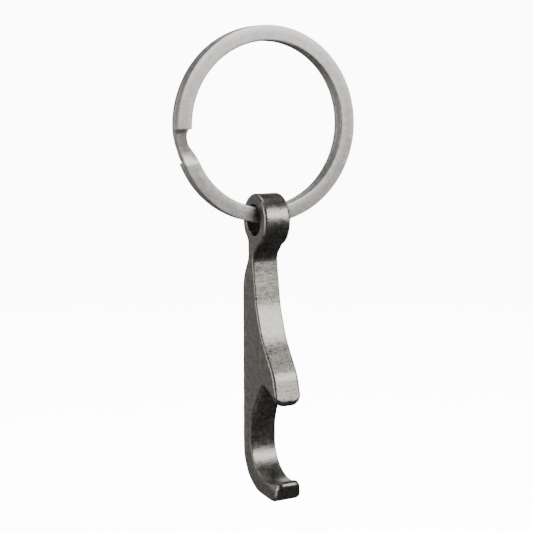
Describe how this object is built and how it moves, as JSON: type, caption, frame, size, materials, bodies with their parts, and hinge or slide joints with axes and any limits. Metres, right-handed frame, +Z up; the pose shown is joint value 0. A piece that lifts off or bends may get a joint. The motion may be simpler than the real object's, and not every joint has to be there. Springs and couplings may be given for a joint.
{
  "type": "keychain bottle opener",
  "caption": "Slim titanium plate bottle opener with a hooked beak, C-shaped mouth and foot hook, hanging by its round eye from a flat split key ring.",
  "frame": {"origin": "top of the split ring's inside edge, at the middle of the ring's thickness, where a hook or peg carries it", "axes": "+Z up; X along the eye's hole and across the opener's plate; the ring lies in the XZ plane; +Y out of the opener's flat spine, so the beak and the hook face -Y"},
  "size_m": [0.032, 0.0131, 0.0778],
  "materials": {
    "opener_titanium": "stonewashed titanium with fine milling lines, semi-matte, edges rubbed bright",
    "ring_metal": "pale grey bead-blasted metal, matte, with brighter broken edges"
  },
  "bodies": {
    "split_ring": {"split_ring": "ring_metal"},
    "opener": {"opener": "opener_titanium"},
    "ring_free_end": {"ring_free_end": "ring_metal"}
  },
  "joints": [
    {"name": "opener_swing", "type": "hinge", "parent": "split_ring", "child": "opener", "pos_m": [0, 0, -0.029], "axis": [1, 0, 0], "range_deg": [-158, 167]},
    {"name": "ring_opening", "type": "hinge", "parent": "split_ring", "child": "ring_free_end", "pos_m": [0, -0.00127, 0.00128], "axis": [0, 0, 1], "range_deg": [0, 12], "stiffness_Nm_per_rad": 0.8}
  ]
}
